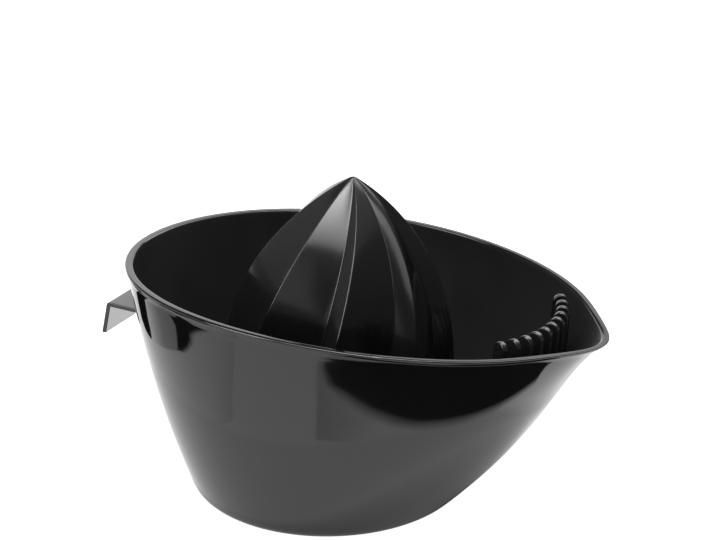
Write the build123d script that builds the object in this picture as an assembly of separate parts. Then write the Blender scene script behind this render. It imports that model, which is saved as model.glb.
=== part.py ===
from build123d import *
import math
import os

# Axes: +X points to the spout, +Z is up, and the origin is the middle of the underside.

# Bowl seen from above, over the bead of its rim
bowl_length = 152.0  # without the lip
bowl_width = 123.2
rim_forward = 5.4  # the middle of the rim, ahead of the middle of the base
taper_share = 0.06  # how much narrower the front is, and wider the back
lip_reach = 6.7  # how far the pouring lip stands out of the oval
lip_spread = 16.6  # degrees to each side over which it fades
lip_power = 7.5  # how late on the way up it starts

# Bowl seen from the side
rim_height = 66.4  # at the back and at the tip of the lip
rim_rise = 2.0  # how much higher the rim is halfway along
base_length = 80.0
base_width = 102.0
base_round = 6.5
front_belly = 5.4  # how far the wall stands out of a straight line, halfway up
front_belly_power = 3
side_belly = 3.8
back_belly = 2.2

# Bowl wall
wall = 2.0
floor = 3.0
floor_round = 5.5
bead_overhang = 0.6
bead_height = 1.4

# Post on the floor that carries the reamer, with a key at the back
post_diameter = 26.0
post_height = 18.0
post_wall = 2.2
key_width = 4.0
key_reach = 3.0

# Reamer, a pointed dome on a straight skirt
reamer_top = 102.0
reamer_diameter = 73.4  # over the ridges
dome_height = 63.3
tip_height = 0.5  # the flat left at the point
ridge_depth = 5.8
ridge_count = 8
ridge_turn = -29.3  # degrees, a ridge on the skirt
ridge_twist = 19.0  # degrees that a ridge turns on its way up the dome
steep_angle = 8.7  # degrees taken by the steep side of a ridge
face_share = 0.26  # of the depth that is left halfway along the long side, which is nearly flat
reamer_wall = 2.4
foot_round = 4.0
sleeve_wall = 2.2
sleeve_clearance = 0.3
seat_clearance = 0.2

# Comb of upright fins across the spout
fin_count = 11
fin_length = 5.0
fin_thickness = 1.9
comb_top = 69.4
comb_setback = 18.2  # from the tip of the lip back to the middle of the foremost fin
comb_radius = 47.1
comb_spread = 62.2  # degrees from the first fin to the last

# Hook at the back, an upside-down L
hook_width = 20.0
hook_reach = 16.2  # from the wall, at the top of the hook, back to its outer face
hook_top = 44.9
hook_drop = 10.7
hook_lean = 1.0  # how much further back the toe is
hook_thickness = 1.4
hook_round = 1.2
hook_gusset = 2.0  # at the root, under the tab

# Working values
section_points = 32
wall_shares = [0.0, 0.25, 0.5, 0.7, 0.82, 0.91, 1.0, 1.07]
dome_shares = [0.0, 0.15, 0.3, 0.45, 0.6, 0.72, 0.83, 0.92]
headroom = 2.5  # how far the inside is carried on above the rim, to trim the fins
overrun = 1.0


def wall_point(turn, height, inset):
    """Point on the wall at a turn in radians, moved inwards by the inset."""
    across = math.cos(turn)
    aside = math.sin(turn)
    share = height / rim_height
    to_spout = (1 + across) / 2
    hump = 4 * share * (1 - share)
    off_lip = math.remainder(turn, 2 * math.pi) / math.radians(lip_spread)
    lip = lip_reach * math.exp(-(off_lip**2)) * share**lip_power
    belly = front_belly * to_spout**front_belly_power - back_belly * (1 - to_spout)
    rim_x = rim_forward + (bowl_length / 2 - bead_overhang - inset) * across
    rim_y = (bowl_width / 2 - bead_overhang - inset) * aside
    base_x = (base_length / 2 - inset) * across
    base_y = (base_width / 2 - inset) * aside
    x = base_x + (rim_x - base_x) * share + belly * hump + lip
    y = (base_y + (rim_y - base_y) * share + side_belly * aside * hump) * (1 - taper_share * across * share)
    return x, y


def wall_section(height, inset):
    turns = [math.pi + 2 * math.pi * step / section_points for step in range(section_points)]
    points = [(*wall_point(turn, height, inset), height) for turn in turns]
    return make_face(Spline(points, periodic=True))


def wall_body(inset, bottom, round_size, drop):
    """Solid inside the wall surface, from the bottom up to the rim line, lowered by the drop."""
    heights = [bottom + (rim_height - bottom) * share for share in wall_shares]
    body = loft([wall_section(height, inset) for height in heights]) & below_rim(drop)
    return fillet(body.edges().sort_by(Axis.Z)[0], round_size)


def rim_line(drop):
    """The gentle arch of the rim, seen from the side."""
    back = rim_forward - bowl_length / 2 - overrun
    tip = rim_forward + bowl_length / 2 + lip_reach + overrun
    low = rim_height - drop
    return ThreePointArc((back, 0, low), ((back + tip) / 2, 0, low + rim_rise), (tip, 0, low))


def below_rim(drop):
    """Block that ends at the rim line, lowered by the drop."""
    line = rim_line(drop)
    floor_line = -overrun
    start = line @ 0
    end = line @ 1
    rest = Polyline(end, (end.X, 0, floor_line), (start.X, 0, floor_line), start)
    return extrude(make_face([line, rest]), amount=bowl_width, both=True)


def upright(radius, bottom, top):
    return Pos(0, 0, bottom) * Cylinder(radius, top - bottom, align=(Align.CENTER, Align.CENTER, Align.MIN))


def keyed_post(radius, bottom, top, key_side):
    """Round post with a key along its back."""
    key = Box(radius + key_reach, key_side, top - bottom, align=(Align.MAX, Align.CENTER, Align.MIN))
    return upright(radius, bottom, top) + Pos(0, 0, bottom) * key


def bowl_shell(outside, inside):
    bead = loft([wall_section(rim_height * share, -bead_overhang) for share in wall_shares[3:]])
    bead = (bead & below_rim(0)) - below_rim(bead_height)
    post_top = floor + post_height
    post = keyed_post(post_diameter / 2, 0, post_top, key_width)
    post = post - upright(post_diameter / 2 - post_wall, floor, post_top)
    return outside + bead - (inside - post)


def dome_radius(drop):
    """Radius over the ridges at a drop below the point."""
    widest = reamer_diameter / 2
    reach = (dome_height**2 / widest + widest) / 2
    return math.sqrt(reach**2 - (dome_height - drop) ** 2) - (reach - widest)


def ridged_section(radius, height, twist):
    """Saw-toothed ring: a steep side up to each ridge, then a long face down to the next."""
    valley = radius * (1 - 2 * ridge_depth / reamer_diameter)
    pitch = 360 / ridge_count
    edges = []
    for ridge in range(ridge_count):
        top_turn = ridge_turn + twist + ridge * pitch
        next_turn = top_turn + pitch - steep_angle
        middle_turn = (top_turn + next_turn) / 2
        low = Vector(valley, 0, height).rotate(Axis.Z, top_turn - steep_angle)
        top = Vector(radius, 0, height).rotate(Axis.Z, top_turn)
        middle = Vector(valley + (radius - valley) * face_share, 0, height).rotate(Axis.Z, middle_turn)
        end = Vector(valley, 0, height).rotate(Axis.Z, next_turn)
        edges.append(Line(low, top))
        edges.append(ThreePointArc(top, middle, end))
    return make_face(edges)


def reamer():
    shoulder = reamer_top - dome_height
    foot = floor + seat_clearance
    widest = reamer_diameter / 2
    sections = []
    for share in [*dome_shares, 1 - tip_height / dome_height]:
        drop = dome_height * (1 - share)
        sections.append(ridged_section(dome_radius(drop), reamer_top - drop, ridge_twist * share))
    dome = loft(sections)
    skirt = extrude(ridged_section(widest, foot, 0), amount=shoulder - foot, dir=(0, 0, 1))
    rounded = fillet(upright(widest, foot, reamer_top).edges().sort_by(Axis.Z)[0], foot_round)
    body = (dome + skirt) & rounded

    inner = widest - ridge_depth - reamer_wall
    reach = (dome_height**2 / widest + widest) / 2
    inner_reach = reach - ridge_depth - reamer_wall
    inner_top = shoulder + math.sqrt(inner_reach**2 - (reach - widest) ** 2)
    middle_height = (inner_top + shoulder) / 2
    middle = math.sqrt(inner_reach**2 - (middle_height - shoulder) ** 2) - (reach - widest)
    arch = ThreePointArc((0, 0, inner_top), (middle, 0, middle_height), (inner, 0, shoulder))
    sides = Polyline((inner, 0, shoulder), (inner, 0, 0), (0, 0, 0), (0, 0, inner_top))
    hollow = revolve(make_face([arch, sides]), Axis.Z)

    bore_radius = post_diameter / 2 + sleeve_clearance
    sleeve = upright(bore_radius + sleeve_wall, 0, reamer_top)
    slot_side = key_width + 2 * sleeve_clearance
    slot_top = floor + post_height + sleeve_clearance
    bore = upright(bore_radius, 0, reamer_top) + keyed_post(bore_radius, 0, slot_top, slot_side)
    return body - (hollow - (sleeve - bore))


def pip_comb(inside):
    comb_front = rim_forward + bowl_length / 2 + lip_reach - comb_setback
    middle_x = comb_front - comb_radius
    fins = []
    for number in range(fin_count):
        turn = comb_spread * (number / (fin_count - 1) - 1 / 2)
        half = fin_length / 2
        shoulder = comb_top - half
        near = comb_radius - half
        far = comb_radius + half
        arch = ThreePointArc((near, 0, shoulder), (comb_radius, 0, comb_top), (far, 0, shoulder))
        legs = Polyline((far, 0, shoulder), (far, 0, 0), (near, 0, 0), (near, 0, shoulder))
        fin = extrude(make_face([arch, legs]), amount=fin_thickness / 2, both=True)
        fins.append((Pos(middle_x, 0, 0) * Rot(0, 0, turn) * fin) & inside)
    return fins


def hook_handle(outside):
    outer_x = wall_point(math.pi, hook_top, 0)[0] - hook_reach
    inner_x = outer_x + hook_thickness
    under = hook_top - hook_thickness
    toe = hook_top - hook_drop
    gusset_x = wall_point(math.pi, under, 0)[0] - hook_gusset
    outline = Polyline(
        (0, 0, hook_top),
        (outer_x, 0, hook_top),
        (outer_x - hook_lean, 0, toe),
        (inner_x - hook_lean, 0, toe),
        (inner_x, 0, under),
        (gusset_x, 0, under),
        (gusset_x + hook_drop, 0, toe),
        (0, 0, toe),
        (0, 0, hook_top),
    )
    tab = extrude(make_face(outline), amount=hook_width / 2, both=True)
    outer_bend = tab.edges().filter_by(Axis.Y).group_by(Axis.Z)[-1].sort_by(Axis.X)[0]
    return fillet(outer_bend, hook_round) - outside


outside = wall_body(0, 0, base_round, bead_height)
inside = wall_body(wall, floor, floor_round, -headroom)

nodes = {
    "bowl_shell": bowl_shell(outside, inside),
    "reamer": reamer(),
    "pip_comb": Compound(children=pip_comb(inside)),
    "hook_handle": hook_handle(outside),
}

os.makedirs("parts", exist_ok=True)
for name, shape in nodes.items():
    export_step(shape, f"parts/{name}.step")
    box = shape.bounding_box()
    print(name, round(shape.volume, 1), box.min, box.max)
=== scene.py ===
import math

import bpy
import numpy as np
from mathutils import Matrix, Vector


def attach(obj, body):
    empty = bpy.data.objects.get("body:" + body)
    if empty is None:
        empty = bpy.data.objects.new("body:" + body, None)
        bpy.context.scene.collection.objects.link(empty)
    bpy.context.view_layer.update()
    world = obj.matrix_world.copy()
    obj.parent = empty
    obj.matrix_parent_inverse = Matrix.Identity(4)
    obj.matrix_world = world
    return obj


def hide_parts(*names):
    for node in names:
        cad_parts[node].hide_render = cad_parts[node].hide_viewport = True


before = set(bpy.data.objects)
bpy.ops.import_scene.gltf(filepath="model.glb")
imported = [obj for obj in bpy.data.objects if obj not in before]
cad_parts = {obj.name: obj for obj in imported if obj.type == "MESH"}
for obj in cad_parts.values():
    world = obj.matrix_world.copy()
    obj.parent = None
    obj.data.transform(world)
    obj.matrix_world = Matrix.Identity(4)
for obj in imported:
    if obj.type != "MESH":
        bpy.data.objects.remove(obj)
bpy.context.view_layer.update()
print("frame loaded:", ", ".join(sorted(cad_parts)))

mm = 0.001
scene = bpy.context.scene
edgeShare = 0.3  # of a rounded edge's size, where its middle point lies

# Shared helpers for meshes


def newPiece(name, mesh):
    piece = bpy.data.objects.new(name, mesh)
    scene.collection.objects.link(piece)
    return piece


def newMesh(name, points, faces, smooth=False):
    mesh = bpy.data.meshes.new(name)
    mesh.from_pydata(points, [], faces)
    if smooth:
        mesh.polygons.foreach_set("use_smooth", [True] * len(mesh.polygons))
    mesh.update()
    return mesh


def gridFaces(rows, columns):
    # quads of an open grid whose points are listed row by row
    faces = []
    for row in range(rows - 1):
        for column in range(columns - 1):
            low = row * columns + column
            faces.append((low, low + 1, low + columns + 1, low + columns))
    return faces


def ringFaces(ringCount, around):
    # quads between neighbouring rings; the rings run anticlockwise and climb on the outside
    column = np.arange(around)
    after = (column + 1) % around
    faces = []
    for ring in range(ringCount - 1):
        low = ring * around
        high = low + around
        faces.append(np.column_stack([low + column, low + after, high + after, high + column]))
    return np.concatenate(faces).tolist()


def ringMesh(name, rings, firstPole, lastPole):
    around = len(rings[0])
    points = np.concatenate(rings + [[firstPole, lastPole]])
    first = len(points) - 2
    last = len(points) - 1
    faces = ringFaces(len(rings), around)
    top = (len(rings) - 1) * around
    for column in range(around):
        after = (column + 1) % around
        faces.append([first, after, column])
        faces.append([last, top + column, top + after])
    return newMesh(name, points.tolist(), faces, smooth=True)


def settle(piece):
    # modifiers become plain mesh
    graph = bpy.context.evaluated_depsgraph_get()
    mesh = bpy.data.meshes.new_from_object(piece.evaluated_get(graph), depsgraph=graph)
    piece.modifiers.clear()
    piece.data = mesh
    mesh.name = piece.name
    return piece


def addTree(piece, tree, values):
    # inputs are set by identifier, before the piece is first evaluated
    modifier = piece.modifiers.new(tree.name, "NODES")
    modifier.node_group = tree
    sockets = {item.name: item.identifier for item in tree.interface.items_tree if item.in_out == "INPUT"}
    for name, value in values.items():
        modifier[sockets[name]] = value


def newGeometryTree(name, inputs, output):
    tree = bpy.data.node_groups.new(name, "GeometryNodeTree")
    for label, kind in inputs.items():
        tree.interface.new_socket(label, in_out="INPUT", socket_type=kind)
    tree.interface.new_socket(output, in_out="OUTPUT", socket_type="NodeSocketGeometry")
    return tree


# Shader groups


def newGroup(name, inputs, outputs):
    group = bpy.data.node_groups.new(name, "ShaderNodeTree")
    for label, kind, value in inputs:
        socket = group.interface.new_socket(label, in_out="INPUT", socket_type=kind)
        socket.default_value = value
    for label, kind in outputs:
        group.interface.new_socket(label, in_out="OUTPUT", socket_type=kind)
    return group


def node(tree, kind, **settings):
    made = tree.nodes.new(kind)
    for key, value in settings.items():
        setattr(made, key, value)
    return made


def noise(tree, vector, scale, detail):
    made = node(tree, "ShaderNodeTexNoise")
    made.inputs["Scale"].default_value = scale
    made.inputs["Detail"].default_value = detail
    tree.links.new(vector, made.inputs["Vector"])
    return made.outputs["Fac"]


def spread(tree, value, low, high, newLow, newHigh):
    made = node(tree, "ShaderNodeMapRange")
    for label, number in (("From Min", low), ("From Max", high), ("To Min", newLow), ("To Max", newHigh)):
        made.inputs[label].default_value = number
    tree.links.new(value, made.inputs["Value"])
    return made.outputs["Result"]


def mouldedSkinGroup():
    # gentle ripple of a moulded face, cloudy handling marks and fine hairline rubs
    group = newGroup(
        "mouldedSkin",
        [("Ripple scale", "NodeSocketFloat", 260.0), ("Mark scale", "NodeSocketFloat", 22.0)],
        [("Ripple", "NodeSocketFloat"), ("Marks", "NodeSocketFloat"), ("Hairlines", "NodeSocketFloat")],
    )
    start = node(group, "NodeGroupInput")
    end = node(group, "NodeGroupOutput")
    place = node(group, "ShaderNodeTexCoord")
    ripple = node(group, "ShaderNodeTexNoise")
    ripple.inputs["Detail"].default_value = 1.0
    marks = node(group, "ShaderNodeTexNoise")
    marks.inputs["Detail"].default_value = 4.0
    marks.inputs["Distortion"].default_value = 0.6
    stretch = node(group, "ShaderNodeMapping")
    stretch.inputs["Rotation"].default_value = (0.5, 0.3, 0.9)
    stretch.inputs["Scale"].default_value = (60.0, 1600.0, 900.0)
    group.links.new(place.outputs["Object"], ripple.inputs["Vector"])
    group.links.new(place.outputs["Object"], marks.inputs["Vector"])
    group.links.new(place.outputs["Object"], stretch.inputs["Vector"])
    group.links.new(start.outputs["Ripple scale"], ripple.inputs["Scale"])
    group.links.new(start.outputs["Mark scale"], marks.inputs["Scale"])
    hairs = noise(group, stretch.outputs["Vector"], 1.0, 2.0)
    group.links.new(ripple.outputs["Fac"], end.inputs["Ripple"])
    group.links.new(spread(group, marks.outputs["Fac"], 0.35, 0.7, 0.0, 1.0), end.inputs["Marks"])
    group.links.new(spread(group, hairs, 0.62, 0.75, 0.0, 1.0), end.inputs["Hairlines"])
    return group


mouldedSkin = mouldedSkinGroup()


def mouldedPlastic(name, look):
    material = bpy.data.materials.new(name)
    material.use_nodes = True
    tree = material.node_tree
    shader = tree.nodes["Principled BSDF"]
    skin = node(tree, "ShaderNodeGroup")
    skin.node_tree = mouldedSkin
    skin.inputs["Ripple scale"].default_value = look["rippleScale"]
    skin.inputs["Mark scale"].default_value = look["markScale"]
    tone = node(tree, "ShaderNodeMix", data_type="RGBA")
    tone.inputs["A"].default_value = (*look["darkTone"], 1)
    tone.inputs["B"].default_value = (*look["paleTone"], 1)
    tree.links.new(skin.outputs["Marks"], tone.inputs["Factor"])
    tree.links.new(tone.outputs["Result"], shader.inputs["Base Color"])
    rough = spread(tree, skin.outputs["Marks"], 0.0, 1.0, look["smoothest"], look["roughest"])
    rubbed = node(tree, "ShaderNodeMath", operation="MULTIPLY_ADD")
    rubbed.inputs[1].default_value = look["hairlines"]
    tree.links.new(skin.outputs["Hairlines"], rubbed.inputs[0])
    tree.links.new(rough, rubbed.inputs[2])
    tree.links.new(rubbed.outputs["Value"], shader.inputs["Roughness"])
    bump = node(tree, "ShaderNodeBump")
    bump.inputs["Strength"].default_value = look["rippleStrength"]
    bump.inputs["Distance"].default_value = look["rippleDepth"]
    tree.links.new(skin.outputs["Ripple"], bump.inputs["Height"])
    tree.links.new(bump.outputs["Normal"], shader.inputs["Normal"])
    shader.inputs["IOR"].default_value = look["ior"]
    return material


glossLook = {
    "darkTone": (0.0045, 0.0045, 0.005),
    "paleTone": (0.006, 0.006, 0.0065),
    "smoothest": 0.04,
    "roughest": 0.09,
    "hairlines": 0.05,
    "rippleScale": 260.0,
    "markScale": 22.0,
    "rippleStrength": 0.25,
    "rippleDepth": 0.02 * mm,
    "ior": 1.54,
}
satinLook = dict(
    glossLook,
    darkTone=(0.030, 0.030, 0.0315),
    paleTone=(0.040, 0.040, 0.0415),
    smoothest=0.34,
    roughest=0.44,
    rippleScale=1400.0,
    rippleStrength=0.4,
)
reamerLook = dict(
    glossLook,
    darkTone=(0.015, 0.015, 0.0155),
    paleTone=(0.019, 0.019, 0.0195),
    smoothest=0.13,
    roughest=0.19,
    rippleScale=900.0,
    rippleStrength=0.3,
)
finLook = dict(satinLook, smoothest=0.2, roughest=0.26)

glossBlack = mouldedPlastic("glossBlackMoulding", glossLook)
satinBlack = mouldedPlastic("satinBlackInside", satinLook)
reamerBlack = mouldedPlastic("reamerBlack", reamerLook)
finBlack = mouldedPlastic("finBlack", finLook)
print("finishes ready")

# Bowl

bowl = {
    "rimLength": 152.0 * mm,  # over the bead, without the lip
    "rimWidth": 123.2 * mm,
    "rimForward": 5.4 * mm,  # middle of the rim, ahead of the middle of the base
    "rimHeight": 66.4 * mm,
    "rimRise": 2.0 * mm,
    "rimEnds": 1.0 * mm,  # how far past the bead the rim line ends
    "taper": 0.06,
    "lipReach": 6.7 * mm,
    "lipSpread": math.radians(16.6),
    "lipPower": 7.5,
    "baseLength": 80.0 * mm,
    "baseWidth": 102.0 * mm,
    "baseRound": 6.5 * mm,
    "frontBelly": 5.4 * mm,
    "frontBellyPower": 3,
    "sideBelly": 3.8 * mm,
    "backBelly": 2.2 * mm,
    "wall": 2.0 * mm,
    "floor": 3.0 * mm,
    "floorRound": 5.5 * mm,
    "beadOverhang": 0.6 * mm,
    "beadHeight": 1.4 * mm,
    "beadRound": 0.5 * mm,
    "beadEdge": 0.2 * mm,
    "beadSideShares": (0.6, 0.45),  # of its height, where its side has loops
    "underShares": (0.25, 0.5, 0.75, 0.95),  # of the way out, where the underside has loops
    "floorShares": (0.05, 0.4, 0.8),  # of the way in to the post, where the floor has loops
    "around": 288,
    "wallSteps": 44,
    "roundSteps": 9,
    "cornerSteps": 6,
}

post = {
    "radius": 13.0 * mm,
    "top": 21.0 * mm,
    "wall": 2.2 * mm,
    "keyWidth": 4.0 * mm,
    "keyReach": 3.0 * mm,
    "keyZone": 1.5,  # turn that the points of the key take, over the turn of the key itself
    "keyEndShare": 0.4,  # of that zone, for the end of the key
    "keyFlankShare": 0.75,  # of that zone, where its flank meets the post
    "edge": 0.5 * mm,
}

bowlTurns = np.linspace(0, 2 * math.pi, bowl["around"], endpoint=False)


def wallRing(heights, inset):
    across = np.cos(bowlTurns)
    aside = np.sin(bowlTurns)
    heights = heights + np.zeros_like(bowlTurns)
    share = heights / bowl["rimHeight"]
    toSpout = (1 + across) / 2
    hump = 4 * share * (1 - share)
    offLip = (np.mod(bowlTurns + math.pi, 2 * math.pi) - math.pi) / bowl["lipSpread"]
    lip = bowl["lipReach"] * np.exp(-(offLip**2)) * share ** bowl["lipPower"]
    belly = bowl["frontBelly"] * toSpout ** bowl["frontBellyPower"] - bowl["backBelly"] * (1 - toSpout)
    rimX = bowl["rimForward"] + (bowl["rimLength"] / 2 - bowl["beadOverhang"] - inset) * across
    rimY = (bowl["rimWidth"] / 2 - bowl["beadOverhang"] - inset) * aside
    baseX = (bowl["baseLength"] / 2 - inset) * across
    baseY = (bowl["baseWidth"] / 2 - inset) * aside
    x = baseX + (rimX - baseX) * share + belly * hump + lip
    straightY = baseY + (rimY - baseY) * share
    y = (straightY + bowl["sideBelly"] * aside * hump) * (1 - bowl["taper"] * across * share)
    return np.column_stack([x, y, heights])


def rimHeights():
    half = (bowl["rimLength"] + bowl["lipReach"]) / 2
    along = wallRing(bowl["rimHeight"], 0.0)[:, 0] - bowl["rimForward"] - bowl["lipReach"] / 2
    return bowl["rimHeight"] + bowl["rimRise"] * (1 - (along / (half + bowl["rimEnds"])) ** 2)


def outwards(ring):
    # plan direction that points out of a ring
    along = np.roll(ring, -1, axis=0) - np.roll(ring, 1, axis=0)
    out = np.column_stack([along[:, 1], -along[:, 0], np.zeros(len(ring))])
    return out / np.linalg.norm(out, axis=1)[:, None]


def roundedFoot(bottom, inset, size):
    # rings of the round between a flat at the bottom and the slanting wall, from the flat upwards
    foot = wallRing(bottom, inset)
    above = wallRing(bottom + size, inset)
    out = outwards(foot)
    slope = np.sum((above - foot) * out, axis=1) / size
    lean = np.arctan(slope)
    middle = slope * size - size * np.sqrt(1 + slope**2)
    rings = []
    for step in np.linspace(0, 1, bowl["roundSteps"]):
        angle = -math.pi / 2 + (math.pi / 2 - lean) * step
        offset = middle + size * np.cos(angle)
        height = size + size * np.sin(angle)
        ring = foot + out * offset[:, None]
        ring[:, 2] = bottom + height
        rings.append(ring)
    return rings


def wallBetween(low, high, inset):
    shares = np.linspace(0, 1, bowl["wallSteps"])
    return [wallRing(low + (high - low) * share, inset) for share in shares]


def roundCorner(drop, inset, size, dropSign, insetSign):
    # quarter round whose middle is at the given drop and inset
    made = []
    for angle in np.linspace(0, math.pi / 2, bowl["cornerSteps"]):
        made.append((drop + dropSign * size * math.sin(angle), inset + insetSign * size * math.cos(angle)))
    return made


def beadRings():
    rim = rimHeights()
    edge = bowl["beadEdge"]
    over = bowl["beadOverhang"]
    size = bowl["beadRound"]
    deep = bowl["beadHeight"]
    soft = edgeShare * edge
    steps = [(deep + edge, 0.0), (deep + soft, -soft), (deep, -edge)]
    steps += [(deep, edge - over), (deep - soft, soft - over), (deep - edge, -over)]
    steps += [(deep * share, -over) for share in bowl["beadSideShares"]]
    steps += roundCorner(size, size - over, size, -1, -1)
    steps += [(0.0, bowl["wall"] / 3), (0.0, bowl["wall"] / 2)]
    steps += roundCorner(size, bowl["wall"] - size, size, -1, 1)[::-1]
    return [wallRing(rim - drop, inset) for drop, inset in steps]


def keyedRing(radius, reach, keySide, height):
    # round outline with a key at the back
    half = keySide / 2
    root = math.asin(half / radius)
    zone = root * post["keyZone"]
    endShare = post["keyEndShare"]
    flankShare = post["keyFlankShare"]
    points = []
    for turn in bowlTurns:
        away = (turn - math.pi) / zone
        side = math.copysign(1, away)
        size = abs(away)
        if size >= 1:
            x, y = radius * math.cos(turn), radius * math.sin(turn)
        elif size > flankShare:
            back = math.pi + side * (root + (zone - root) * (size - flankShare) / (1 - flankShare))
            x, y = radius * math.cos(back), radius * math.sin(back)
        elif size > endShare:
            share = (size - endShare) / (flankShare - endShare)
            x = -(radius + reach) + (radius + reach - radius * math.cos(root)) * share
            y = -side * half
        else:
            x = -(radius + reach)
            y = -half * away / endShare
        points.append((x, y, height))
    return np.array(points)


def postRings():
    floor = bowl["floor"]
    top = post["top"]
    edge = post["edge"]
    soft = edgeShare * edge
    inner = post["radius"] - post["wall"]
    reach = post["keyReach"]
    side = post["keyWidth"]
    rings = []
    for height in (floor, floor + edge, top - edge):
        rings.append(keyedRing(post["radius"], reach, side, height))
    rings.append(keyedRing(post["radius"] - soft, reach, side - 2 * soft, top - soft))
    rings.append(keyedRing(post["radius"] - edge, reach, side - 2 * edge, top))
    flat = np.column_stack([np.cos(bowlTurns), np.sin(bowlTurns), np.zeros_like(bowlTurns)])
    for radius, height in ((inner + edge, top), (inner + soft, top - soft), (inner, top - edge)):
        rings.append(flat * radius + [0, 0, height])
    rings.append(flat * inner + [0, 0, floor])
    return rings


def makeBowl():
    rim = rimHeights()
    footRings = roundedFoot(0.0, 0.0, bowl["baseRound"])
    wellRings = roundedFoot(bowl["floor"], bowl["wall"], bowl["floorRound"])
    under = [footRings[0] * [share, share, 1] for share in bowl["underShares"]]
    outside = wallBetween(footRings[-1][:, 2], rim - bowl["beadHeight"] - bowl["beadEdge"], 0.0)[1:-1]
    bead = beadRings()
    inside = wallBetween(rim - bowl["beadRound"], wellRings[-1][:, 2], bowl["wall"])[1:-1]
    stand = postRings()
    well = wellRings[::-1]
    floorRings = [well[-1] + (stand[0] - well[-1]) * share for share in bowl["floorShares"]]
    rings = under + footRings + outside + bead + inside + well + floorRings + stand
    mesh = ringMesh("bowl", rings, (0, 0, 0), (0, 0, bowl["floor"]))
    firstInside = (len(under) + len(footRings) + len(outside) + len(bead) - 2) * bowl["around"]
    slots = [1 if face.vertices[0] >= firstInside else 0 for face in mesh.polygons]
    mesh.materials.append(glossBlack)
    mesh.materials.append(satinBlack)
    mesh.polygons.foreach_set("material_index", slots)
    return newPiece("bowl", mesh)


bowlPiece = makeBowl()
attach(bowlPiece, "bowl")
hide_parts("bowl_shell")
print("bowl:", len(bowlPiece.data.polygons), "faces")

# Reamer

reamer = {
    "top": 102.0 * mm,
    "tip": 0.5 * mm,  # cut off the point
    "radius": 36.7 * mm,  # over the ridges
    "domeHeight": 63.3 * mm,
    "ridges": 8,
    "ridgeDepth": 5.8 * mm,
    "ridgeTurn": math.radians(-29.3),
    "ridgeTwist": math.radians(19.0),  # on the way up the dome
    "steepTurn": math.radians(8.7),
    "faceShare": 0.26,  # of the depth that is left halfway along the long face
    "softTurn": math.radians(0.6),  # to each side of a ridge or a valley, over which it is rounded
    "foot": 3.2 * mm,
    "footRound": 4.0 * mm,
    "wall": 2.4 * mm,
    "boreRadius": 13.3 * mm,
    "sleeveWall": 2.2 * mm,
    "slotSide": 4.6 * mm,
    "slotTop": 21.3 * mm,
    "sleeveLap": 1.5 * mm,  # how far into the dome's wall the sleeve goes
    "sleeveStep": 0.25 * mm,  # by which its top is searched for
    "sleeveSteps": 72,
    "softSteps": 4,
    "crestSteps": 9,
    "faceSteps": 12,
    "softSamples": 33,
    "hollowSteps": 24,
    "hollowCrowd": 0.3,  # the less, the closer the rows at the top of the hollow
    "insideSteps": 6,
    "footSteps": 9,
    "skirtSteps": 12,
    "domeSteps": 70,
    "domeCrowd": 1.35,  # the more, the closer the rows at the point
    "tipCap": ((0.5, 0.92), (0.0, 0.88)),  # radius and drop of the last rows, as shares of those at the cut
    "weld": 0.01 * mm,
}
shoulder = reamer["top"] - reamer["domeHeight"]
ridgePitch = 2 * math.pi / reamer["ridges"]
domeReach = (reamer["domeHeight"] ** 2 / reamer["radius"] + reamer["radius"]) / 2
domeOffset = domeReach - reamer["radius"]
hollowReach = domeReach - reamer["ridgeDepth"] - reamer["wall"]
hollowPeak = shoulder + math.sqrt(hollowReach**2 - domeOffset**2)


def domeRadius(drop):
    return math.sqrt(domeReach**2 - (reamer["domeHeight"] - drop) ** 2) - domeOffset


def hollowRadius(height):
    # inside of the dome, a constant wall inwards of its valleys
    rise = max(0, height - shoulder)
    return math.sqrt(max(0, hollowReach**2 - rise**2)) - domeOffset


def footLimit(height):
    # how far out the round at the foot lets a ridge reach
    size = reamer["footRound"]
    sunk = max(0, reamer["foot"] + size - height)
    return reamer["radius"] - size + math.sqrt(max(0, size**2 - sunk**2))


def toothShare(turn):
    # share of the ridge's height: up the steep side, then down the long, slightly hollow face
    steep = reamer["steepTurn"]
    turn = np.mod(turn, ridgePitch)
    along = (turn - steep) / (ridgePitch - steep)
    hollow = 2 - 4 * reamer["faceShare"]
    return np.where(turn < steep, turn / steep, (1 - along) * (1 - hollow * along))


def toothProfile():
    # turn and share over one tooth, from valley to valley, closely spaced where it is rounded
    steep = reamer["steepTurn"]
    soft = reamer["softTurn"]
    end = ridgePitch - soft
    turns = [*np.linspace(0, soft, reamer["softSteps"]), steep / 2]
    turns += [*np.linspace(steep - soft, steep + soft, reamer["crestSteps"])]
    turns += [*np.linspace(steep + soft, end, reamer["faceSteps"])[1:]]
    turns += [*np.linspace(end, ridgePitch, reamer["softSteps"])[1:]]
    window = np.linspace(-soft, soft, reamer["softSamples"])
    return [(turn, toothShare(turn + window).mean()) for turn in turns]


def sectorRow(profile, radius, height, toothed):
    start = reamer["ridgeTurn"] - reamer["steepTurn"]
    twist = reamer["ridgeTwist"] * max(0, height - shoulder) / reamer["domeHeight"]
    depthShare = reamer["ridgeDepth"] / reamer["radius"]
    points = []
    for turn, share in profile:
        size = radius
        if toothed:
            size = min(radius * (1 - depthShare * (1 - share)), footLimit(height))
        aim = start + turn + twist
        points.append((size * math.cos(aim), size * math.sin(aim), height))
    return points


def hollowPlaces():
    # radius and height of the rows inside, from the top down
    crowd = reamer["hollowCrowd"]
    places = []
    for share in np.linspace(0, 1, reamer["hollowSteps"]):
        height = hollowPeak + (shoulder - hollowPeak) * share * (crowd + (1 - crowd) * share)
        places.append((max(hollowRadius(height), 0.0), height))
    for height in np.linspace(shoulder, reamer["foot"], reamer["insideSteps"])[1:]:
        places.append((hollowRadius(0), height))
    return places


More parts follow.
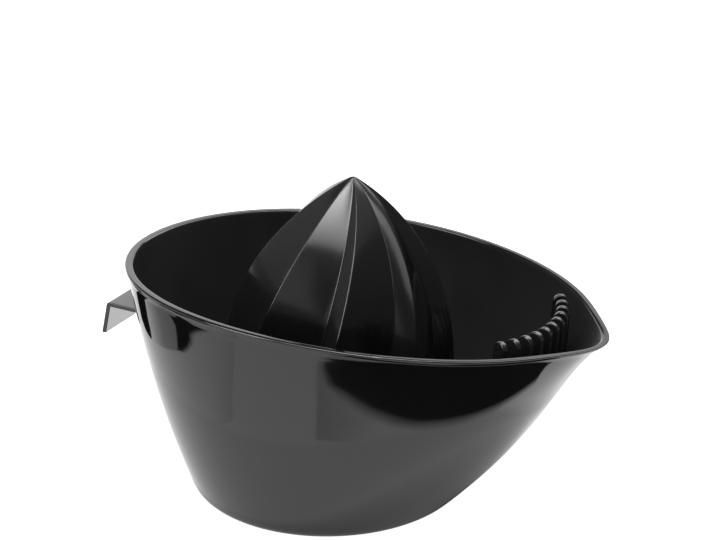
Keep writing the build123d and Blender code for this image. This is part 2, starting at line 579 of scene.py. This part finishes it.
def ridgedPlaces():
    # radius and height of the rows outside, from the round at the foot up to the point
    top = reamer["top"]
    tip = reamer["tip"]
    skirtFoot = reamer["foot"] + reamer["footRound"]
    places = []
    for angle in np.linspace(0, math.pi / 2, reamer["footSteps"]):
        places.append((reamer["radius"], reamer["foot"] + reamer["footRound"] * (1 - math.cos(angle))))
    for height in np.linspace(skirtFoot, shoulder, reamer["skirtSteps"])[1:]:
        places.append((reamer["radius"], height))
    for share in np.linspace(0, 1, reamer["domeSteps"])[1:]:
        drop = max(reamer["domeHeight"] * (1 - share) ** reamer["domeCrowd"], tip)
        places.append((domeRadius(drop), top - drop))
    for radiusShare, dropShare in reamer["tipCap"]:
        places.append((domeRadius(tip) * radiusShare, top - tip * dropShare))
    return places


def makeSector():
    profile = toothProfile()
    rows = [sectorRow(profile, radius, height, False) for radius, height in hollowPlaces()]
    rows += [sectorRow(profile, radius, height, True) for radius, height in ridgedPlaces()]
    points = [point for row in rows for point in row]
    return newMesh("reamer", points, gridFaces(len(rows), len(profile)))


def makeSleeve():
    # tube round the post, slotted for its key, up to the inside of the dome
    radius = reamer["boreRadius"]
    outer = radius + reamer["sleeveWall"]
    slot = math.asin(reamer["slotSide"] / 2 / radius)
    turns = np.linspace(math.pi + slot, 3 * math.pi - slot, reamer["sleeveSteps"])
    turns = np.concatenate([[math.pi - slot], turns])
    top = reamer["slotTop"]
    while hollowRadius(top) > outer - reamer["sleeveLap"]:
        top += reamer["sleeveStep"]
    heights = [reamer["foot"], (reamer["foot"] + reamer["slotTop"]) / 2, reamer["slotTop"], top]
    points = []
    for height in heights:
        points += [(radius * math.cos(turn), radius * math.sin(turn), height) for turn in turns]
    around = len(turns)
    slotFaces = [level * around for level, height in enumerate(heights[1:]) if height <= reamer["slotTop"]]
    faces = [face for face in ringFaces(len(heights), around) if face[0] not in slotFaces]
    piece = newPiece("reamerSleeve", newMesh("reamerSleeve", points, faces))
    thick = piece.modifiers.new("wall", "SOLIDIFY")
    thick.thickness = reamer["sleeveWall"]
    thick.offset = 1
    return settle(piece)


def reamerTree():
    # one tooth turned round the axis, welded, with the sleeve joined in
    tree = newGeometryTree("reamerRidges", {
        "Tooth": "NodeSocketGeometry",
        "Ridges": "NodeSocketInt",
        "Pitch": "NodeSocketFloat",
        "Weld": "NodeSocketFloat",
        "Sleeve": "NodeSocketObject",
        "Finish": "NodeSocketMaterial",
    }, "Reamer")
    link = tree.links.new
    start = node(tree, "NodeGroupInput")
    end = node(tree, "NodeGroupOutput")
    spots = node(tree, "GeometryNodeMeshLine")
    spots.inputs["Offset"].default_value = (0, 0, 0)
    number = node(tree, "GeometryNodeInputIndex")
    turn = node(tree, "ShaderNodeMath", operation="MULTIPLY")
    aim = node(tree, "ShaderNodeCombineXYZ")
    place = node(tree, "GeometryNodeInstanceOnPoints")
    real = node(tree, "GeometryNodeRealizeInstances")
    weld = node(tree, "GeometryNodeMergeByDistance")
    sleeve = node(tree, "GeometryNodeObjectInfo", transform_space="RELATIVE")
    both = node(tree, "GeometryNodeJoinGeometry")
    smooth = node(tree, "GeometryNodeSetShadeSmooth")
    finish = node(tree, "GeometryNodeSetMaterial")
    link(start.outputs["Ridges"], spots.inputs["Count"])
    link(number.outputs["Index"], turn.inputs[0])
    link(start.outputs["Pitch"], turn.inputs[1])
    link(turn.outputs["Value"], aim.inputs["Z"])
    link(spots.outputs["Mesh"], place.inputs["Points"])
    link(start.outputs["Tooth"], place.inputs["Instance"])
    link(aim.outputs["Vector"], place.inputs["Rotation"])
    link(place.outputs["Instances"], real.inputs["Geometry"])
    link(real.outputs["Geometry"], weld.inputs["Geometry"])
    link(start.outputs["Weld"], weld.inputs["Distance"])
    link(start.outputs["Sleeve"], sleeve.inputs["Object"])
    link(weld.outputs["Geometry"], both.inputs["Geometry"])
    link(sleeve.outputs["Geometry"], both.inputs["Geometry"])
    link(both.outputs["Geometry"], smooth.inputs["Geometry"])
    link(smooth.outputs["Geometry"], finish.inputs["Geometry"])
    link(start.outputs["Finish"], finish.inputs["Material"])
    link(finish.outputs["Geometry"], end.inputs["Reamer"])
    return tree


sleevePiece = makeSleeve()
reamerPiece = newPiece("reamerCone", makeSector())
addTree(reamerPiece, reamerTree(), {
    "Ridges": reamer["ridges"],
    "Pitch": ridgePitch,
    "Weld": reamer["weld"],
    "Sleeve": sleevePiece,
    "Finish": reamerBlack,
})
settle(reamerPiece)
bpy.data.objects.remove(sleevePiece)
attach(reamerPiece, "reamer")
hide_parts("reamer")
print("reamer:", len(reamerPiece.data.polygons), "faces")

# Comb of fins across the spout

comb = {
    "fins": 11,
    "length": 5.0 * mm,
    "thickness": 1.9 * mm,
    "edge": 0.3 * mm,
    "top": 69.4 * mm,
    "front": 69.9 * mm,  # middle of the foremost fin
    "radius": 47.1 * mm,
    "spread": math.radians(62.2),
    "startDepth": 12.0 * mm,  # before its foot is let down to the wall
    "rootDepth": 0.5 * mm,  # how far the foot goes into the wall
    "archSteps": 18,
    "edgeSteps": 5,
}


def finLoop(inset, aside):
    half = comb["length"] / 2
    middle = comb["top"] - half
    bottom = comb["top"] - comb["startDepth"]
    size = half - inset
    loop = [(-size, aside, bottom)]
    for angle in np.linspace(math.pi, 0, comb["archSteps"]):
        loop.append((size * math.cos(angle), aside, middle + size * math.sin(angle)))
    loop.append((size, aside, bottom))
    return loop


def makeFin():
    # loops across the thickness, with a round along the edges of the arch
    half = comb["thickness"] / 2
    edge = comb["edge"]
    quarter = np.linspace(0, math.pi / 2, comb["edgeSteps"])
    loops = []
    for side, angles in ((-1, quarter), (1, quarter[::-1])):
        for angle in angles:
            inset = edge * (1 - math.sin(angle))
            loops.append(finLoop(inset, side * (half - edge * (1 - math.cos(angle)))))
    count = len(loops[0])
    last = (len(loops) - 1) * count
    faces = ringFaces(len(loops), count)
    faces.append(list(range(count))[::-1])
    faces.append(list(range(last, last + count)))
    mesh = newMesh("pipComb", [point for loop in loops for point in loop], faces, smooth=True)
    root = mesh.attributes.new("root", "FLOAT", "POINT")
    feet = [float(number % count in (0, count - 1)) for number in range(len(mesh.vertices))]
    root.data.foreach_set("value", feet)
    return mesh


def combTree():
    # copies of the fin along an arc; their feet are let down on to the bowl's wall
    tree = newGeometryTree("finRow", {
        "Fin": "NodeSocketGeometry",
        "Fins": "NodeSocketInt",
        "Middle": "NodeSocketVector",
        "Radius": "NodeSocketFloat",
        "First turn": "NodeSocketFloat",
        "Turn step": "NodeSocketFloat",
        "Root depth": "NodeSocketFloat",
        "Bowl": "NodeSocketObject",
        "Finish": "NodeSocketMaterial",
    }, "Comb")
    link = tree.links.new
    start = node(tree, "NodeGroupInput")
    end = node(tree, "NodeGroupOutput")
    spots = node(tree, "GeometryNodeMeshLine")
    spots.inputs["Offset"].default_value = (0, 0, 0)
    number = node(tree, "GeometryNodeInputIndex")
    turn = node(tree, "ShaderNodeMath", operation="MULTIPLY_ADD")
    aim = node(tree, "ShaderNodeCombineXYZ")
    place = node(tree, "GeometryNodeInstanceOnPoints")
    outward = node(tree, "ShaderNodeCombineXYZ")
    shift = node(tree, "GeometryNodeTranslateInstances")
    centre = node(tree, "GeometryNodeTranslateInstances")
    centre.inputs["Local Space"].default_value = False
    real = node(tree, "GeometryNodeRealizeInstances")
    wall = node(tree, "GeometryNodeObjectInfo", transform_space="RELATIVE")
    down = node(tree, "GeometryNodeRaycast")
    down.inputs["Ray Direction"].default_value = (0, 0, -1)
    down.inputs["Ray Length"].default_value = 1.0
    roots = node(tree, "GeometryNodeInputNamedAttribute", data_type="FLOAT")
    roots.inputs["Name"].default_value = "root"
    isRoot = node(tree, "FunctionNodeCompare", data_type="FLOAT", operation="GREATER_THAN")
    isRoot.inputs["B"].default_value = 0.5
    sink = node(tree, "ShaderNodeCombineXYZ")
    minus = node(tree, "ShaderNodeMath", operation="MULTIPLY")
    minus.inputs[1].default_value = -1
    settleRoot = node(tree, "GeometryNodeSetPosition")
    finish = node(tree, "GeometryNodeSetMaterial")
    link(start.outputs["Fins"], spots.inputs["Count"])
    link(number.outputs["Index"], turn.inputs[0])
    link(start.outputs["Turn step"], turn.inputs[1])
    link(start.outputs["First turn"], turn.inputs[2])
    link(turn.outputs["Value"], aim.inputs["Z"])
    link(spots.outputs["Mesh"], place.inputs["Points"])
    link(start.outputs["Fin"], place.inputs["Instance"])
    link(aim.outputs["Vector"], place.inputs["Rotation"])
    link(start.outputs["Radius"], outward.inputs["X"])
    link(place.outputs["Instances"], shift.inputs["Instances"])
    link(outward.outputs["Vector"], shift.inputs["Translation"])
    link(shift.outputs["Instances"], centre.inputs["Instances"])
    link(start.outputs["Middle"], centre.inputs["Translation"])
    link(centre.outputs["Instances"], real.inputs["Geometry"])
    link(start.outputs["Bowl"], wall.inputs["Object"])
    link(wall.outputs["Geometry"], down.inputs["Target Geometry"])
    link(roots.outputs["Attribute"], isRoot.inputs["A"])
    link(start.outputs["Root depth"], minus.inputs[0])
    link(minus.outputs["Value"], sink.inputs["Z"])
    link(real.outputs["Geometry"], settleRoot.inputs["Geometry"])
    link(isRoot.outputs["Result"], settleRoot.inputs["Selection"])
    link(down.outputs["Hit Position"], settleRoot.inputs["Position"])
    link(sink.outputs["Vector"], settleRoot.inputs["Offset"])
    link(settleRoot.outputs["Geometry"], finish.inputs["Geometry"])
    link(start.outputs["Finish"], finish.inputs["Material"])
    link(finish.outputs["Geometry"], end.inputs["Comb"])
    return tree


combPiece = newPiece("pipComb", makeFin())
addTree(combPiece, combTree(), {
    "Fins": comb["fins"],
    "Middle": (comb["front"] - comb["radius"], 0.0, 0.0),
    "Radius": comb["radius"],
    "First turn": -comb["spread"] / 2,
    "Turn step": comb["spread"] / (comb["fins"] - 1),
    "Root depth": comb["rootDepth"],
    "Bowl": bowlPiece,
    "Finish": finBlack,
})
settle(combPiece)
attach(combPiece, "bowl")
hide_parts("pip_comb")
print("comb:", len(combPiece.data.polygons), "faces")

# Hook at the back

hook = {
    "width": 20.0 * mm,
    "back": 78.4 * mm,
    "lean": 1.0 * mm,  # how much further back the toe is
    "top": 44.9 * mm,
    "drop": 10.7 * mm,
    "thickness": 1.4 * mm,
    "bend": 1.2 * mm,
    "gusset": 63.6 * mm,  # where its slant starts, under the tab
    "gussetFoot": 59.3 * mm,  # and where it ends, inside the thickness of the bowl's wall
    "root": 61.2 * mm,
    "edge": 0.3 * mm,
    "edgeAngle": math.radians(40),  # from which an edge is rounded
    "edgeSteps": 4,
    "bendSteps": 6,
}


def hookOutline():
    bend = hook["bend"]
    back = hook["back"]
    top = hook["top"]
    under = top - hook["thickness"]
    toe = top - hook["drop"]
    outline = [(-hook["root"], top)]
    for angle in np.linspace(math.pi / 2, math.pi, hook["bendSteps"]):
        outline.append((-back + bend * (1 + math.cos(angle)), top - bend * (1 - math.sin(angle))))
    outline.append((-back - hook["lean"], toe))
    outline.append((-back - hook["lean"] + hook["thickness"], toe))
    outline.append((-back + hook["thickness"], under))
    outline.append((-hook["gusset"], under))
    outline.append((-hook["gussetFoot"], under - hook["gusset"] + hook["gussetFoot"]))
    return outline


def makeHook():
    outline = hookOutline()
    count = len(outline)
    half = hook["width"] / 2
    points = [(x, -half, z) for x, z in outline] + [(x, half, z) for x, z in outline]
    faces = [tuple(range(count)), tuple(range(2 * count - 1, count - 1, -1))]
    for column in range(count):
        after = (column + 1) % count
        faces.append((after, column, column + count, after + count))
    mesh = newMesh("hook", points, faces, smooth=True)
    piece = newPiece("hook", mesh)
    soft = piece.modifiers.new("softEdges", "BEVEL")
    soft.width = hook["edge"]
    soft.segments = hook["edgeSteps"]
    soft.limit_method = "ANGLE"
    soft.angle_limit = hook["edgeAngle"]
    soft.harden_normals = True
    mesh.materials.append(glossBlack)
    return settle(piece)


hookPiece = makeHook()
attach(hookPiece, "bowl")
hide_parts("hook_handle")
print("hook:", len(hookPiece.data.polygons), "faces")

# Floor, light and camera

floorSettings = {
    "side": 6.0,
    "tone": (0.8, 0.8, 0.8),
    "roughness": 0.9,
    "glow": 1.15,  # a lit white table, so that no shadow shows round the bowl
    "shadowGlow": 1.02,
    "shadowRadius": 101.0 * mm,  # inside this the floor glows less: a painted shadow of the bowl
    "nearFade": 2.0 * mm,
}


def makeFloor():
    half = floorSettings["side"] / 2
    corners = [(-half, -half, 0), (half, -half, 0), (half, half, 0), (-half, half, 0)]
    mesh = newMesh("floor", corners, [(0, 1, 2, 3)])
    material = bpy.data.materials.new("paleFloor")
    material.use_nodes = True
    tree = material.node_tree
    shader = tree.nodes["Principled BSDF"]
    shader.inputs["Base Color"].default_value = (*floorSettings["tone"], 1)
    shader.inputs["Roughness"].default_value = floorSettings["roughness"]
    shader.inputs["Specular IOR Level"].default_value = 0.0
    shader.inputs["Emission Color"].default_value = (1, 1, 1, 1)
    place = node(tree, "ShaderNodeTexCoord")
    away = node(tree, "ShaderNodeVectorMath", operation="LENGTH")
    tree.links.new(place.outputs["Object"], away.inputs[0])
    # painted shadow: the floor glows less close to the bowl
    near = floorSettings["shadowRadius"] - floorSettings["nearFade"]
    far = floorSettings["shadowRadius"] + floorSettings["nearFade"]
    glow = spread(tree, away.outputs["Value"], near, far, floorSettings["shadowGlow"], floorSettings["glow"])
    tree.links.new(glow, shader.inputs["Emission Strength"])
    mesh.materials.append(material)
    return newPiece("floor", mesh)


makeFloor()

# Cards on the floor, shown only in reflections: height and rows of points in mm, and what each point covers

cards = {
    "rightFlag": {"covers": (0, 1, 1), "glow": 0.0, "height": 0.5, "rows": [
        [(18, -252), (27, -255), (74, -275)],
        [(24, -214), (33, -217), (88, -240)],
        [(31, -178), (40, -183), (104, -208)],
        [(47, -145), (57, -151), (118, -178)],
        [(64, -99), (74, -105), (134, -128)],
        [(75, -70), (84, -74), (146, -98)],
        [(87, -44), (96, -48), (152, -72)],
        [(97, -23), (105, -27), (155, -48)],
        [(107, -1), (114, -5), (150, -22)],
        [(113, 13), (120, 9), (150, -10)],
    ]},
    # painted shade, seen only in reflections
    "rightShade": {"covers": (0, 0.34, 0), "glow": 0.0, "height": 0.4, "rows": [
        [(24, -103), (26, -102), (58, -83)],
        [(24, -112), (26, -112), (66, -92)],
        [(24, -125), (26, -125), (78, -105)],
        [(23, -154), (25, -154), (74, -146)],
        [(19, -199), (21, -199), (55, -196)],
        [(13, -259), (15, -259), (40, -259)],
    ]},
    # painted shade, seen only in reflections
    "middleShade": {"covers": (0, 0.16, 0.16), "glow": 0.0, "height": 0.4, "rows": [
        [(-56, -80), (-46, -100), (-45, -102)],
        [(-74, -95), (-61, -120), (-60, -122)],
        [(-94, -115), (-79, -149), (-78, -152)],
        [(-116, -139), (-102, -187), (-101, -190)],
        [(-159, -174), (-142, -238), (-141, -241)],
    ]},
    "leftFlag": {"covers": (0, 1, 1), "glow": 0.0, "height": 0.5, "rows": [
        [(-131, -96), (-134, -84), (-134, -78)],
        [(-137, -112), (-141, -102), (-144, -84)],
        [(-148, -130), (-151, -118), (-156, -90)],
        [(-160, -140), (-165, -126), (-172, -96)],
        [(-170, -168), (-175, -150), (-183, -88)],
        [(-176, -216), (-182, -200), (-190, -75)],
        [(-205, -240), (-212, -220), (-212, -60)],
    ]},
    "leftPanel": {"covers": (0, 0.45, 0.45), "glow": 0.0, "height": 0.5, "rows": [
        [(-131.5, -12), (-132, -45), (-133.5, -79)],
        [(-143, -13), (-150, -50), (-153, -89)],
        [(-168, -8), (-172, -55), (-172, -96)],
        [(-190, -6), (-195, -45), (-190, -75)],
    ]},
    "leftStrip": {"covers": (0, 1, 1), "glow": 0.0, "height": 0.5, "rows": [
        [(-131.5, -11), (-132, -10.5), (-131, -6)],
        [(-142, -12), (-142.5, -11), (-133, 9)],
        [(-154, -8), (-154.5, -7), (-140, 23)],
        [(-168, -7), (-168.5, -6), (-153, 30)],
        [(-190, -3), (-190.5, -2), (-175, 40)],
    ]},
    "rightCard": {"covers": (0, 1, 1), "glow": 1.9, "height": 0.3, "rows": [
        [(72, 66), (80, 73), (190, 190)],
        [(81, 45), (91, 51), (230, 120)],
        [(89, 24), (100, 28), (250, 70)],
        [(96, 4), (107, 6), (250, 20)],
        [(100, -10), (111, -12), (240, -30)],
    ]},
    "hookCard": {"covers": (0, 1, 1), "glow": 3.3, "height": 0.3, "rows": [
        [(-80, 40), (-78, 50), (-66, 170)],
        [(-24, 50), (-26, 60), (-10, 180)],
    ]},
}

# Painted shade: a dark card on the floor round the foot, seen only in reflections, widest on the right
contact = {
    "inside": 6.0 * mm,
    "cover": 0.5,
    "width": 4.0 * mm,
    "rightCover": 0.48,
    "rightWidth": 46.0 * mm,
    "rightTurn": math.radians(10),
    "rightSpread": math.radians(50),
    "height": 0.35 * mm,
}


def glowMaterial(name):
    # black, with the light that each point of the mesh gives off
    material = bpy.data.materials.new(name)
    material.use_nodes = True
    tree = material.node_tree
    shader = tree.nodes["Principled BSDF"]
    shader.inputs["Base Color"].default_value = (0, 0, 0, 1)
    shader.inputs["Specular IOR Level"].default_value = 0.0
    shader.inputs["Emission Color"].default_value = (1, 1, 1, 1)
    glow = node(tree, "ShaderNodeAttribute", attribute_name="glow")
    tree.links.new(glow.outputs["Fac"], shader.inputs["Emission Strength"])
    return material


def cardMaterial():
    material = glowMaterial("floorCard")
    tree = material.node_tree
    shader = tree.nodes["Principled BSDF"]
    clear = node(tree, "ShaderNodeBsdfTransparent")
    cover = node(tree, "ShaderNodeAttribute", attribute_name="cover")
    both = node(tree, "ShaderNodeMixShader")
    tree.links.new(cover.outputs["Fac"], both.inputs["Fac"])
    tree.links.new(clear.outputs["BSDF"], both.inputs[1])
    tree.links.new(shader.outputs["BSDF"], both.inputs[2])
    tree.links.new(both.outputs["Shader"], tree.nodes["Material Output"].inputs["Surface"])
    return material


def reflectedPiece(name, points, faces, material, values):
    # a piece of the studio that only reflections show
    mesh = newMesh(name, points, faces)
    for label, numbers in values.items():
        mesh.attributes.new(label, "FLOAT", "POINT").data.foreach_set("value", numbers)
    mesh.materials.append(material)
    piece = newPiece(name, mesh)
    piece.visible_camera = False
    piece.visible_diffuse = False
    piece.visible_shadow = False
    piece.visible_transmission = False


def makeCards(material):
    for name, card in cards.items():
        rows = card["rows"]
        points = [(x * mm, y * mm, card["height"] * mm) for row in rows for x, y in row]
        values = {"cover": card["covers"] * len(rows), "glow": [card["glow"]] * len(points)}
        reflectedPiece(name, points, gridFaces(len(rows), len(rows[0])), material, values)


def makeContactShade(material):
    # a ring of painted shade round the foot, seen only in reflections
    foot = wallRing(0.0, 0.0)
    out = outwards(foot)
    away = np.mod(bowlTurns - contact["rightTurn"] + math.pi, 2 * math.pi) - math.pi
    right = np.exp(-((away / contact["rightSpread"]) ** 2))
    width = contact["width"] + contact["rightWidth"] * right
    cover = contact["cover"] + contact["rightCover"] * right
    points = np.concatenate([foot - out * contact["inside"], foot, foot + out * width[:, None]])
    points[:, 2] = contact["height"]
    covers = np.concatenate([cover, cover, cover * 0])
    faces = ringFaces(3, bowl["around"])
    reflectedPiece("contactShade", points.tolist(), faces, material, {"cover": covers, "glow": covers * 0})


floorCard = cardMaterial()
makeCards(floorCard)
makeContactShade(floorCard)

# Soft boxes, by the direction they stand in: turn and rise of their edges in degrees, glow below and above

boxes = {
    "rightBackBox": {"turn": (92, 111), "rise": (2, 27), "glow": (1.1, 1.1)},
    "backBox": {"turn": (111, 150), "rise": (2, 27), "glow": (1.4, 1.4)},
    "highBackBox": {"turn": (55, 104), "rise": (30, 78), "glow": (4.0, 4.0)},
    "topBox": {"turn": (-134, -66), "rise": (47, 105), "glow": (2.0, 21.0)},
    "frontBox": {"turn": (-70, -46), "rise": (28, 60), "glow": (1.4, 2.7)},
    "lowFrontBox": {"turn": (-106, -84), "rise": (14, 40), "glow": (0.7, 0.35)},
    "stripBox": {"turn": (-140, -114), "rise": (14, 48), "glow": (6.0, 9.0)},
    "leftBox": {"turn": (158, 212), "rise": (7, 45), "glow": (0.3, 0.42)},
    "rightBox": {"turn": (-15, 50), "rise": (38, 75), "glow": (0.35, 0.8)},
    "backPanel": {"turn": (60, 91), "rise": (0, 15), "glow": (0.0, 0.0), "distance": 0.4},
}
boxDistance = 1.5
boxSteps = 8


def between(ends, share):
    return ends[0] + (ends[1] - ends[0]) * share


def makeBoxes():
    material = glowMaterial("softBox")
    for name, box in boxes.items():
        away = box.get("distance", boxDistance)
        points = []
        glows = []
        for lift in np.linspace(0, 1, boxSteps):
            rise = math.radians(between(box["rise"], lift))
            flat = away * math.cos(rise)
            for along in np.linspace(0, 1, boxSteps):
                turn = math.radians(between(box["turn"], along))
                points.append((flat * math.cos(turn), flat * math.sin(turn), away * math.sin(rise)))
                glows.append(between(box["glow"], lift))
        reflectedPiece(name, points, gridFaces(boxSteps, boxSteps), material, {"glow": glows})


makeBoxes()

overhead = {
    "at": (-0.35, -0.15, 1.25),
    "side": 1.2,
    "power": 8.0,
}
surround = {
    "tone": (1, 1, 1),
    "strength": 0.12,
}


def makeOverhead():
    data = bpy.data.lights.new("overhead", "AREA")
    data.shape = "RECTANGLE"
    data.size = overhead["side"]
    data.size_y = overhead["side"]
    data.energy = overhead["power"]
    lamp = newPiece("overhead", data)
    lamp.location = overhead["at"]
    lamp.visible_glossy = False
    away = -Vector(overhead["at"])
    lamp.rotation_euler = away.to_track_quat("-Z", "Y").to_euler()


def makeWorld():
    world = bpy.data.worlds.new("studio")
    world.use_nodes = True
    back = world.node_tree.nodes["Background"]
    back.inputs["Color"].default_value = (*surround["tone"], 1)
    back.inputs["Strength"].default_value = surround["strength"]
    scene.world = world


makeOverhead()
makeWorld()
scene.view_settings.view_transform = "Standard"

camera = {
    "elevation": math.radians(20.461),
    "turn": math.radians(-23.239),  # how far the spout is turned towards the camera
    "roll": math.radians(4.724),
    "distance": 1119.63 * mm,
    "sensor": 36.0,
    "lens": 175.98,
    "clipEnd": 50.0,
    "across": 9.208 * mm,  # from the middle of the underside to the middle of the picture
    "above": 65.976 * mm,
}


def makeCamera():
    turn = camera["turn"]
    rise = camera["elevation"]
    right = Vector((math.cos(turn), -math.sin(turn), 0))
    up = Vector((math.sin(turn) * math.sin(rise), math.cos(turn) * math.sin(rise), math.cos(rise)))
    forward = right.cross(up) * -1
    level = math.cos(camera["roll"])
    lean = math.sin(camera["roll"])
    rolledRight = right * level + up * lean
    rolledUp = up * level - right * lean
    data = bpy.data.cameras.new("camera")
    data.sensor_width = camera["sensor"]
    data.lens = camera["lens"]
    data.clip_end = camera["clipEnd"]
    seat = newPiece("camera", data)
    spot = rolledRight * camera["across"] + rolledUp * camera["above"] - forward * camera["distance"]
    turned = Matrix((rolledRight, rolledUp, -forward)).transposed()
    seat.matrix_world = Matrix.Translation(spot) @ turned.to_4x4()
    scene.camera = seat


makeCamera()
print("floor, light and camera ready")
